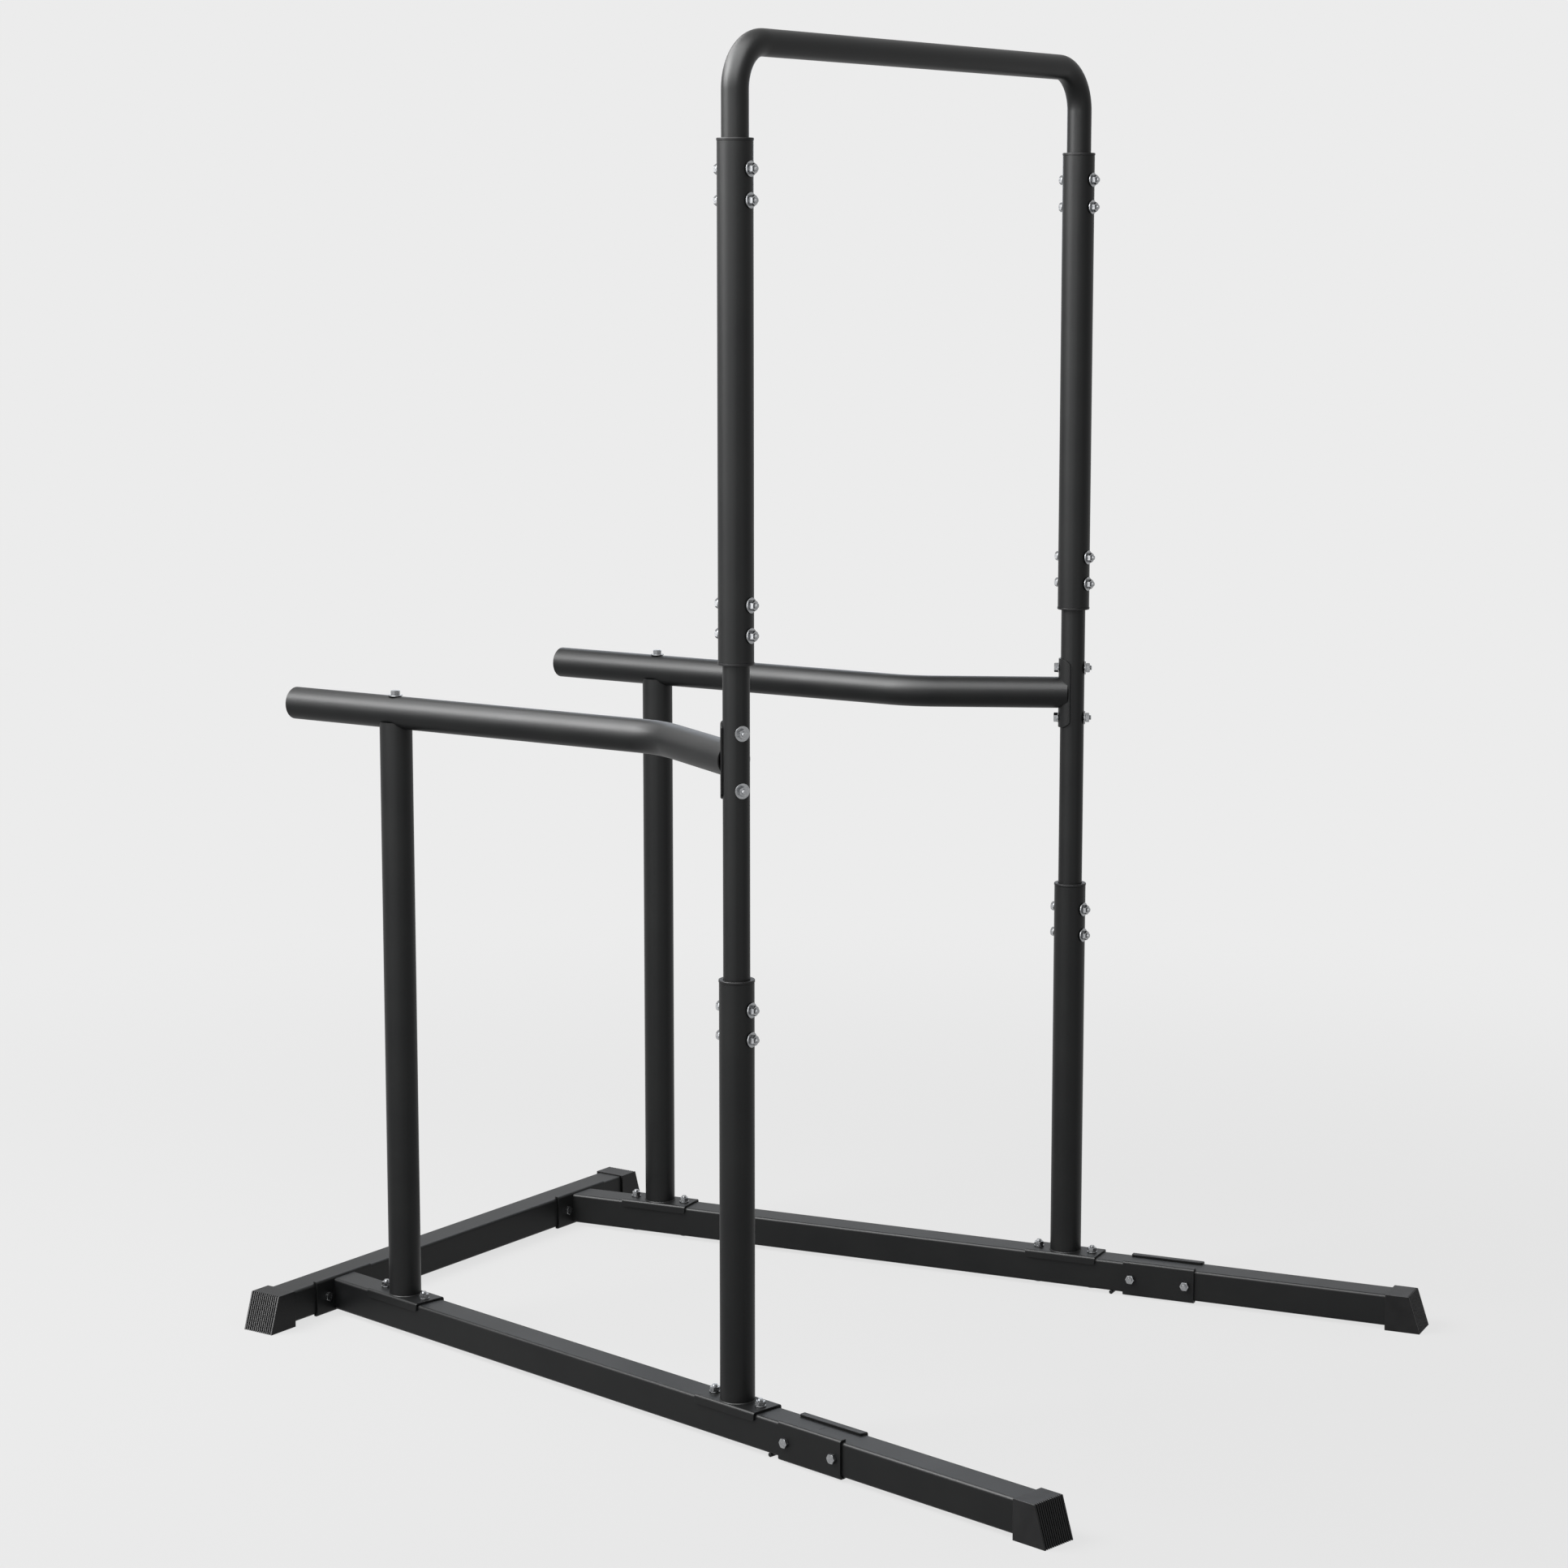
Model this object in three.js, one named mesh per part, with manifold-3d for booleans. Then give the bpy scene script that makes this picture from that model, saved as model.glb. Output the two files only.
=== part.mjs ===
// Dip station with a pull-up bar: a bolted steel tube frame that stands free on four ribbed feet.
// Millimetres, +Z up. The open front faces -Y and the rear cross bar lies at +Y.
// The origin is on the floor, below the middle of the whole frame.
import * as THREE from 'three';
import { mergeVertices } from 'three/addons/utils/BufferGeometryUtils.js';
import Module from 'manifold-3d';

const wasm = await Module();
wasm.setup();

// Plan of the frame. Setbacks and reaches are counted along the rails from the uprights.
const uprightSpacing = 928;
const splayAngle = THREE.MathUtils.degToRad(10);
const postSetback = 741;
const crossBarBehindPost = 178.3;
const crossBarOverhang = 84.6;
const spliceReach = 168.5;
const legReach = 575;

// Round tubes: the main tube makes uprights, posts and dip bars. The slim tube slides into it, with
// the wall of a bush between the two.
const mainDiameter = 50;
const mainWall = 2;
const bushWall = 4;
const slimWall = 2;

// Square tube of the base.
const railSize = 50;
const railWall = 2;
const railInnerCorner = 1.5;

// Heights and lengths of the uprights, from the saddles up.
const lowerLength = 605;
const middleShown = 442;
const upperLength = 707;
const barRise = 129;
const barBend = 65;
const insertMargin = 28.5;

// Dip bars. The share is the place of their axis on the shown length of the middle upright.
const dipRiseShare = 0.6973;
const dipAngle = THREE.MathUtils.degToRad(30);
const dipBend = 150;
const dipOverhang = 202;
const dipCopeStop = 8;

// Folded plates: saddles, splice plates, rear joint plates, and the curved brackets.
const plate = 3;
const plateInnerBend = 1;
const saddleLength = 120;
const saddleLip = 10;
const spliceLength = 120;
const spliceLip = 11;
const jointLength = 130;
const jointLip = 7;
const bracketHeight = 110;
const bracketWrap = THREE.MathUtils.degToRad(80);
const bracketCorner = 9;

// Welded pieces on the posts and under the side rails.
const postEarDrop = 14;
const tappedPlate = 6;
const tappedPlateGap = 8.7;
const restRodGap = 21.5;
const restRodShy = 2;

// Feet: a cap over the tube end, with a base under the tube and a slanted, ribbed end face. The
// base keeps the bolt heads under the rails clear of the floor.
const headClearance = 0.4;
const footSide = 3.5;
const footTop = 1.5;
const footCover = 33;
const footEnd = 4;
const footToe = 19;
const footRibs = 12;
const footMargin = 4;
const footGroove = 1.5;
const footGrooveShare = 0.45;

// Plastic bushes between the slim and the main tube, whose flanges close the sleeves.
const bushFlange = 4;
const bushProud = 0.6;
const bushToBolt = 5.5;

// Fasteners.
const boltDiameter = 8;
const boltHead = 5.3;
const nutHeight = 6.5;
const hexAcrossFlats = 13;
const studEnd = 3;
const wideWasher = 24;
const midWasher = 20;
const smallWasher = 16;
const washerThickness = 1.6;
const holePlay = 0.5;
const sleeveBoltEdge = 37.5;
const sleeveBoltPitch = 42;
const saddleBoltEdge = 14;
const spliceBoltEdge = 14;
const jointBoltEdge = 24;
const bracketBoltEdge = 15;

// Clearance between pieces that touch, depth of a weld, and how far a cut runs past its piece.
const fit = 0.3;
const weld = 0.5;
const overrun = 10;

// Facets. Washers and thin rods share a count, and an outline's arc gets two for each step.
const tubeSides = 20;
const boltSides = 8;
const washerSides = 12;
const hexagonSides = 6;
const cornerSteps = 1;
const barBendSteps = 5;
const dipBendSteps = 4;

// Sections that follow from the sizes above.
const mainRadius = mainDiameter / 2;
const slimRadius = mainRadius - mainWall - bushWall;
const boltRadius = boltDiameter / 2;
const railCorner = railInnerCorner + railWall;
const channelWidth = railSize + 2 * (fit + plate);
const insert = sleeveBoltEdge + sleeveBoltPitch + insertMargin;
const bushSkirt = sleeveBoltEdge - boltRadius - bushToBolt;
const saddleBoltOffset = saddleLength / 2 - saddleBoltEdge;
const spliceBoltOffset = spliceLength / 2 - spliceBoltEdge;
const jointBoltOffset = jointLength / 2 - jointBoltEdge;
const bracketBoltOffset = bracketHeight / 2 - bracketBoltEdge;
const tappedPlateDepth = mainRadius + fit + tappedPlateGap;

// Heights that follow.
const footBase = fit + boltHead + headClearance;
const railBottom = footBase;
const railMiddle = railBottom + railSize / 2;
const railTop = railBottom + railSize;
const saddleTop = railTop + fit + plate;
const lowerTop = saddleTop + lowerLength;
const middleBottom = lowerTop - insert;
const middleLength = middleShown + 2 * (bushFlange + insert);
const upperBottom = lowerTop + 2 * bushFlange + middleShown;
const upperTop = upperBottom + upperLength;
const barHeight = upperTop + bushFlange + barRise;
const barBottom = upperTop - insert;
const dipHeight = lowerTop + bushFlange + dipRiseShare * middleShown;

// Places in plan that follow.
const uprightX = uprightSpacing / 2;
const postX = uprightX - postSetback * Math.sin(splayAngle);
const postY = postSetback * Math.cos(splayAngle);
const crossBarSetback = postY + crossBarBehindPost;
const jointFace = crossBarSetback - railSize / 2 - fit;
const jointX = uprightX - (jointFace - plate) * Math.tan(splayAngle);
const crossBarLength = 2 * (jointX + jointLength / 2 + crossBarOverhang);
const footWidth = railSize + 2 * (fit + footSide);
const legFootReach = legReach + fit + footEnd + footToe;
const frontReach = legFootReach * Math.cos(splayAngle) + (footWidth / 2) * Math.sin(splayAngle);
const rearReach = Math.max(crossBarSetback + footWidth / 2, postY + dipOverhang);

// Finishes.
const powderCoat = new THREE.MeshStandardMaterial({ color: 0x2b2b2c, roughness: 0.42, metalness: 0.1 });
const plastic = new THREE.MeshStandardMaterial({ color: 0x2e2e2f, roughness: 0.5, metalness: 0 });
const rubber = new THREE.MeshStandardMaterial({ color: 0x2a2a2b, roughness: 0.6, metalness: 0 });
const zinc = new THREE.MeshStandardMaterial({ color: 0xc9cbcc, roughness: 0.3, metalness: 0.9 });

// Conversions between three.js geometry and solids that can be joined and cut.
function solidOf(geometry) {
  const bare = geometry.index ? geometry.toNonIndexed() : geometry.clone();
  bare.deleteAttribute('normal');
  bare.deleteAttribute('uv');
  const merged = mergeVertices(bare);
  return new wasm.Manifold(new wasm.Mesh({
    numProp: 3,
    vertProperties: new Float32Array(merged.attributes.position.array),
    triVerts: new Uint32Array(merged.index.array),
  }));
}

function geometryOf(solid) {
  const mesh = solid.getMesh();
  const geometry = new THREE.BufferGeometry();
  geometry.setAttribute('position', new THREE.BufferAttribute(mesh.vertProperties, 3));
  geometry.setIndex(new THREE.BufferAttribute(mesh.triVerts, 1));
  geometry.computeVertexNormals();
  return geometry;
}

const turned = (solid, axis, angle) => {
  const degrees = THREE.MathUtils.radToDeg(angle);
  return solid.rotate([axis === 'x' ? degrees : 0, axis === 'y' ? degrees : 0, axis === 'z' ? degrees : 0]);
};

const quarterTurn = Math.PI / 2;

// Round bar along +Z, starting at z = 0.
function bar(radius, length, sides) {
  const geometry = new THREE.CylinderGeometry(radius, radius, length, sides);
  geometry.rotateX(quarterTurn);
  return solidOf(geometry).translate([0, 0, length / 2]);
}

// Straight round tube along +Z, starting at z = 0.
function tube(outerRadius, innerRadius, length) {
  const bore = bar(innerRadius, length + 2 * overrun, tubeSides).translate([0, 0, -overrun]);
  return bar(outerRadius, length, tubeSides).subtract(bore);
}

const mainTube = (length) => tube(mainRadius, mainRadius - mainWall, length);

const slimTube = (length) => tube(slimRadius, slimRadius - slimWall, length);

// Box given by its lowest and highest corners.
function box(low, high) {
  const size = high.map((value, i) => value - low[i]);
  const middle = high.map((value, i) => (value + low[i]) / 2);
  return solidOf(new THREE.BoxGeometry(...size)).translate(middle);
}

function extruded(outline, length) {
  const settings = { depth: length, bevelEnabled: false, curveSegments: cornerSteps };
  return solidOf(new THREE.ExtrudeGeometry(outline, settings));
}

// Rectangle with rounded corners, centred on the origin.
function roundedRectangle(width, height, radius, Kind = THREE.Shape) {
  const x = width / 2 - radius;
  const y = height / 2 - radius;
  const outline = new Kind();
  outline.absarc(x, -y, radius, -quarterTurn, 0);
  outline.absarc(x, y, radius, 0, quarterTurn);
  outline.absarc(-x, y, radius, quarterTurn, 2 * quarterTurn);
  outline.absarc(-x, -y, radius, 2 * quarterTurn, 3 * quarterTurn);
  outline.closePath();
  return outline;
}

// Square tube with its underside at z = 0, running from y = 0 towards -Y.
function squareTube(length) {
  const outline = roundedRectangle(railSize, railSize, railCorner);
  const inside = railSize - 2 * railWall;
  outline.holes.push(roundedRectangle(inside, inside, railCorner - railWall, THREE.Path));
  return turned(extruded(outline, length), 'x', quarterTurn).translate([0, 0, railSize / 2]);
}

// Folded channel that hugs three sides of the square tube. The web's inner face lies on y = 0,
// its outer face at y = plate, the lips run towards -Y, and the length is centred on Z.
function channel(length, lip) {
  const half = channelWidth / 2;
  const outer = plate + plateInnerBend;
  const outline = new THREE.Shape();
  outline.moveTo(half, -lip);
  outline.absarc(half - outer, plate - outer, outer, 0, quarterTurn);
  outline.absarc(outer - half, plate - outer, outer, quarterTurn, 2 * quarterTurn);
  outline.lineTo(-half, -lip);
  outline.lineTo(plate - half, -lip);
  outline.absarc(outer - half, plate - outer, plateInnerBend, 2 * quarterTurn, quarterTurn, true);
  outline.absarc(half - outer, plate - outer, plateInnerBend, quarterTurn, 0, true);
  outline.lineTo(half - plate, -lip);
  outline.closePath();
  return extruded(outline, length).translate([0, 0, -length / 2]);
}

// Path of straight runs joined by round bends in one plane, with rings only where it turns.
class BentPath extends THREE.Curve {
  constructor(corners, radius, bendSteps) {
    super();
    this.stations = [];
    const headings = corners.slice(1).map((corner, i) => corner.clone().sub(corners[i]).normalize());
    this.stations.push({ point: corners[0], heading: headings[0] });
    for (let i = 1; i < headings.length; i += 1) {
      this.addBend(corners[i], headings[i - 1], headings[i], radius, bendSteps);
    }
    this.stations.push({ point: corners[corners.length - 1], heading: headings[headings.length - 1] });
  }

  addBend(corner, heading, nextHeading, radius, bendSteps) {
    const angle = heading.angleTo(nextHeading);
    const axis = heading.clone().cross(nextHeading).normalize();
    const start = corner.clone().addScaledVector(heading, -radius * Math.tan(angle / 2));
    const inward = axis.clone().cross(heading);
    const centre = start.clone().addScaledVector(inward, radius);
    for (let step = 0; step <= bendSteps; step += 1) {
      const turn = (angle * step) / bendSteps;
      this.stations.push({
        point: centre.clone().addScaledVector(inward.clone().applyAxisAngle(axis, turn), -radius),
        heading: heading.clone().applyAxisAngle(axis, turn),
      });
    }
  }

  station(share) {
    return this.stations[Math.round(share * (this.stations.length - 1))];
  }

  getPointAt(share) {
    return this.station(share).point.clone();
  }

  getTangentAt(share) {
    return this.station(share).heading.clone();
  }
}

function bentTube(path, outerRadius, innerRadius) {
  const outline = new THREE.Shape().absarc(0, 0, outerRadius, 0, 2 * Math.PI);
  outline.holes.push(new THREE.Path().absarc(0, 0, innerRadius, 0, 2 * Math.PI));
  const settings = { steps: path.stations.length - 1, extrudePath: path, curveSegments: tubeSides / 2 };
  return solidOf(new THREE.ExtrudeGeometry(outline, settings));
}

// Cutter for a bolt hole right through a tube or rail: it runs both ways from the given point.
function boltHole(axis, reach, [x, y, z], turn = 0) {
  const cutter = bar(boltRadius + holePlay, 2 * reach, boltSides).translate([0, 0, -reach]);
  const layAbout = { x: 'y', y: 'x' }[axis];
  const lying = layAbout ? turned(cutter, layAbout, quarterTurn) : cutter;
  return turned(lying, 'z', turn).translate([x, y, z]);
}

const drilled = (solid, holes) => holes.reduce((piece, hole) => piece.subtract(hole), solid);

// Two bolt places at a sleeve end: below the end, or above it when up is 1.
const sleeveBoltHeights = (end, up) => [0, 1].map((i) => end + up * (sleeveBoltEdge + i * sleeveBoltPitch));

const sleeveHoles = (heights, floor, turn = 0) => (
  heights.map((height) => boltHole('y', mainRadius + overrun, [0, 0, height - floor], turn)));

const upperJointHeights = sleeveBoltHeights(upperTop, -1);
const middleJointHeights = sleeveBoltHeights(upperBottom, 1);
const lowerJointHeights = sleeveBoltHeights(lowerTop, -1);
const bracketBoltHeights = [dipHeight + bracketBoltOffset, dipHeight - bracketBoltOffset];

// Saddle: the channel over the rail, its web on top, with a bolt hole before and behind the tube.
function saddle() {
  const folded = turned(channel(saddleLength, saddleLip), 'x', quarterTurn).translate([0, 0, railTop + fit]);
  const holes = [-1, 1].map((end) => boltHole('z', overrun, [0, end * saddleBoltOffset, saddleTop]));
  return drilled(folded, holes);
}

// Lower upright: a tube welded on its saddle. It is turned with the rail, but its bolts lie along Y.
function lowerUpright() {
  const stem = mainTube(lowerLength + weld).translate([0, 0, saddleTop - weld]);
  return drilled(stem, sleeveHoles(lowerJointHeights, 0, -splayAngle)).add(saddle());
}

function middleUpright() {
  const bracketHoles = bracketBoltHeights.map((height) => (
    boltHole('y', slimRadius + overrun, [0, 0, height - middleBottom], dipAngle)));
  const holes = sleeveHoles([...middleJointHeights, ...lowerJointHeights], middleBottom);
  return drilled(slimTube(middleLength), [...holes, ...bracketHoles]);
}

function upperUpright() {
  const holes = sleeveHoles([...upperJointHeights, ...middleJointHeights], upperBottom);
  return drilled(mainTube(upperLength), holes);
}

// Bush: a flange from z = 0 up that closes the sleeve, and a skirt below it, inside the sleeve.
function bush() {
  const flange = bar(mainRadius + bushProud, bushFlange - fit, tubeSides).translate([0, 0, fit]);
  const skirtRadius = mainRadius - mainWall - fit;
  const skirt = bar(skirtRadius, bushSkirt + fit + weld, tubeSides).translate([0, 0, -bushSkirt]);
  const length = bushFlange + bushSkirt + 2 * overrun;
  const bore = bar(slimRadius + fit, length, tubeSides).translate([0, 0, -bushSkirt - overrun]);
  return flange.add(skirt).subtract(bore);
}

function pullUpBar() {
  const corners = [
    new THREE.Vector3(-uprightX, 0, barBottom),
    new THREE.Vector3(-uprightX, 0, barHeight),
    new THREE.Vector3(uprightX, 0, barHeight),
    new THREE.Vector3(uprightX, 0, barBottom),
  ];
  const path = new BentPath(corners, barBend, barBendSteps);
  const holes = [-1, 1].flatMap((side) => upperJointHeights.map((height) => (
    boltHole('y', slimRadius + overrun, [side * uprightX, 0, height]))));
  return drilled(bentTube(path, slimRadius, slimRadius - slimWall), holes);
}

// Curved bracket that hugs the middle upright, facing +Y, centred on z = 0.
function bracket() {
  const innerRadius = slimRadius + fit;
  const outerRadius = innerRadius + plate;
  const outline = new THREE.Shape();
  outline.absarc(0, 0, outerRadius, quarterTurn - bracketWrap, quarterTurn + bracketWrap);
  outline.absarc(0, 0, innerRadius, quarterTurn + bracketWrap, quarterTurn - bracketWrap, true);
  outline.closePath();
  const settings = { depth: bracketHeight, bevelEnabled: false, curveSegments: tubeSides / 4 };
  const shell = solidOf(new THREE.ExtrudeGeometry(outline, settings)).translate([0, 0, -bracketHeight / 2]);
  const width = 2 * outerRadius * Math.sin(bracketWrap);
  const face = extruded(roundedRectangle(width, bracketHeight, bracketCorner), outerRadius + overrun);
  const holes = [-1, 1].map((end) => boltHole('y', outerRadius + overrun, [0, 0, end * bracketBoltOffset]));
  return drilled(shell.intersect(turned(face, 'x', -quarterTurn)), holes);
}

// Right-hand dip bar, seen from the upright's axis at the origin. Its front end is coped round the
// bracket and welded to it, and its straight grip lies over the post.
function dipBar() {
  const gripX = postX - uprightX;
  const bendY = -gripX / Math.tan(dipAngle);
  const toUpright = new THREE.Vector3(Math.sin(dipAngle), -Math.cos(dipAngle), 0);
  const corners = [
    new THREE.Vector3(gripX, postY + dipOverhang, 0),
    new THREE.Vector3(gripX, bendY, 0),
    toUpright.clone().multiplyScalar(-dipCopeStop),
  ];
  const path = new BentPath(corners, dipBend, dipBendSteps);
  const copeRadius = slimRadius + fit + plate - weld;
  const cope = bar(copeRadius, 2 * mainDiameter, tubeSides).translate([0, 0, -mainDiameter]);
  const postHole = boltHole('z', mainDiameter, [gripX, postY, 0]);
  const grip = bentTube(path, mainRadius, mainRadius - mainWall).subtract(cope).subtract(postHole);
  return grip.add(turned(bracket(), 'z', dipAngle));
}

// Right-hand dip post in the rail's frame: cupped to the dip bar, with a tapped plate inside.
function dipPost() {
  const top = dipHeight - postEarDrop;
  const stem = mainTube(top - saddleTop + weld).translate([0, 0, saddleTop - weld]);
  const lyingBar = turned(bar(mainRadius + fit, 2 * mainDiameter, tubeSides), 'x', quarterTurn);
  const seat = lyingBar.translate([0, mainDiameter, dipHeight]);
  const disc = bar(mainRadius - mainWall + weld, tappedPlate, tubeSides)
    .translate([0, 0, dipHeight - tappedPlateDepth - tappedPlate]);
  const hole = boltHole('z', mainDiameter, [0, 0, dipHeight - tappedPlateDepth]);
  return stem.subtract(turned(seat, 'z', -splayAngle)).add(disc.subtract(hole)).add(saddle());
}

// Right-hand side rail in the upright's frame, running along Y. Its rear end is mitred and welded
// to the joint plate, which stands square to the cross bar. The rest rod is welded below it.
function sideRail() {
  const axisReach = (jointFace - plate) / Math.cos(splayAngle);
  const roomForMitre = railSize / 2;
  const length = axisReach + roomForMitre + spliceReach - fit / 2;
  const blank = squareTube(length).translate([0, axisReach + roomForMitre, railBottom]);
  const behind = box(
    [-railSize - overrun, weld, -overrun],
    [railSize + overrun, 2 * railSize, railTop + overrun],
  );
  const rail = blank.subtract(turned(behind, 'z', -splayAngle).translate([0, axisReach, 0]));
  const holes = [
    boltHole('x', railSize, [0, spliceBoltOffset - spliceReach, railMiddle]),
    ...[0, postSetback].flatMap((place) => [-1, 1].map((end) => (
      boltHole('z', railSize, [0, place + end * saddleBoltOffset, railTop])))),
  ];
  return drilled(rail, holes).add(jointPlate(axisReach)).add(restRod());
}

function jointPlate(axisReach) {
  const upright = turned(turned(channel(jointLength, jointLip), 'x', Math.PI), 'y', quarterTurn);
  const holes = [-1, 1].map((end) => boltHole('y', overrun, [end * jointBoltOffset, 0, 0]));
  const placed = drilled(upright.translate([0, plate, 0]), holes);
  return turned(placed, 'z', -splayAngle).translate([0, axisReach, railMiddle]);
}

function restRod() {
  const reach = spliceReach - spliceLength / 2 - restRodGap;
  const diameter = footBase + weld;
  const length = railSize - 2 * restRodShy;
  const rod = turned(bar(diameter / 2, length, washerSides), 'y', quarterTurn);
  return rod.translate([-length / 2, -reach, diameter / 2]);
}

function frontLeg() {
  const start = spliceReach + fit / 2;
  const leg = squareTube(legReach - start).translate([0, -start, railBottom]);
  return leg.subtract(boltHole('x', railSize, [0, -spliceReach - spliceBoltOffset, railMiddle]));
}

function crossBar() {
  const lying = turned(squareTube(crossBarLength), 'z', quarterTurn);
  const holes = [-1, 1].flatMap((side) => [-1, 1].map((end) => (
    boltHole('y', railSize, [side * jointX + end * jointBoltOffset, 0, railSize / 2]))));
  return drilled(lying.translate([-crossBarLength / 2, 0, 0]), holes);
}

// Splice plate on the +X side of the rail, web upright, with a bolt hole each side of the joint.
function splicePlate() {
  const upright = turned(turned(channel(spliceLength, spliceLip), 'z', -quarterTurn), 'x', quarterTurn);
  const holes = [-1, 1].map((end) => boltHole('x', overrun, [0, end * spliceBoltOffset, 0]));
  return drilled(upright, holes);
}

// Foot over a tube end at y = 0. The tube runs to +Y, and the foot stands on z = 0.
function foot() {
  const height = railTop + fit + footTop;
  const slantTop = -fit - footEnd;
  const slantFoot = slantTop - footToe;
  const side = new THREE.Shape();
  side.moveTo(footCover, 0);
  side.lineTo(footCover, height);
  side.lineTo(slantTop, height);
  side.lineTo(slantFoot, 0);
  side.closePath();
  const body = turned(turned(extruded(side, footWidth), 'x', quarterTurn), 'z', quarterTurn)
    .translate([-footWidth / 2, 0, 0]);
  const room = railSize / 2 + fit;
  const pocket = box([-room, -fit, railBottom - fit], [room, footCover + overrun, railTop + fit]);
  return drilled(body.subtract(pocket), footGrooves(height, slantTop));
}

// Grooves between the ribs, cut square into the slanted face from the floor to the top.
function footGrooves(height, slantTop) {
  const tilt = Math.atan2(footToe, height);
  const pitch = (footWidth - 2 * footMargin) / footRibs;
  const width = pitch * footGrooveShare;
  const length = height / Math.cos(tilt);
  return Array.from({ length: footRibs - 1 }, (unused, i) => {
    const x = (i + 1) * pitch + footMargin - footWidth / 2;
    const cutter = box([x - width / 2, -overrun, -length - overrun], [x + width / 2, footGroove, overrun]);
    return turned(cutter, 'x', -tilt).translate([0, slantTop, height]);
  });
}

// Bolt along +Z with hexagon head, washers and nut in one. The clamped faces lie at z = 0 and
// z = grip, and a washer of diameter 0 is left out.
function boltSet(grip, headWasher, nutWasher, nut = nutHeight, stud = studEnd) {
  const hexRadius = hexAcrossFlats / Math.sqrt(3);
  const under = headWasher ? washerThickness : 0;
  const over = nutWasher ? washerThickness : 0;
  let solid = bar(boltRadius, grip + over + nut + stud + boltHead, boltSides).translate([0, 0, -boltHead]);
  solid = solid.add(bar(hexRadius, boltHead + under / 2, hexagonSides).translate([0, 0, -boltHead - under]));
  if (headWasher) {
    solid = solid.add(bar(headWasher / 2, washerThickness, washerSides).translate([0, 0, -under]));
  }
  if (nutWasher) {
    solid = solid.add(bar(nutWasher / 2, washerThickness, washerSides).translate([0, 0, grip]));
  }
  if (nut) {
    solid = solid.add(bar(hexRadius, nut + over / 2, hexagonSides).translate([0, 0, grip + over / 2]));
  }
  return solid;
}

const acrossTube = mainDiameter + 2 * fit;
const acrossBracket = 2 * slimRadius + 3 * fit + plate;
const acrossSplice = channelWidth + 2 * fit;
const throughRail = railSize + fit + plate + 2 * fit;
const intoPost = mainRadius + fit + tappedPlateDepth + tappedPlate;
const sleeveBolt = boltSet(acrossTube, wideWasher, wideWasher);
const bracketBolt = boltSet(acrossBracket, midWasher, midWasher);
const spliceBolt = boltSet(acrossSplice, 0, 0);
const saddleBolt = boltSet(throughRail, 0, smallWasher);
const postBolt = boltSet(intoPost, midWasher, 0, 0);

// Scene graph.
const station = new THREE.Group();
station.position.y = (frontReach - rearReach) / 2;

function place(parent, name, solid, material, position = [0, 0, 0], rotation = [0, 0, 0, 'XYZ']) {
  const mesh = new THREE.Mesh(geometryOf(solid), material);
  mesh.name = name;
  mesh.position.set(...position);
  mesh.rotation.set(...rotation);
  parent.add(mesh);
}

place(station, 'pull_up_bar', pullUpBar(), powderCoat);
place(station, 'rear_cross_bar', crossBar(), powderCoat, [0, crossBarSetback, railBottom]);

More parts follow.
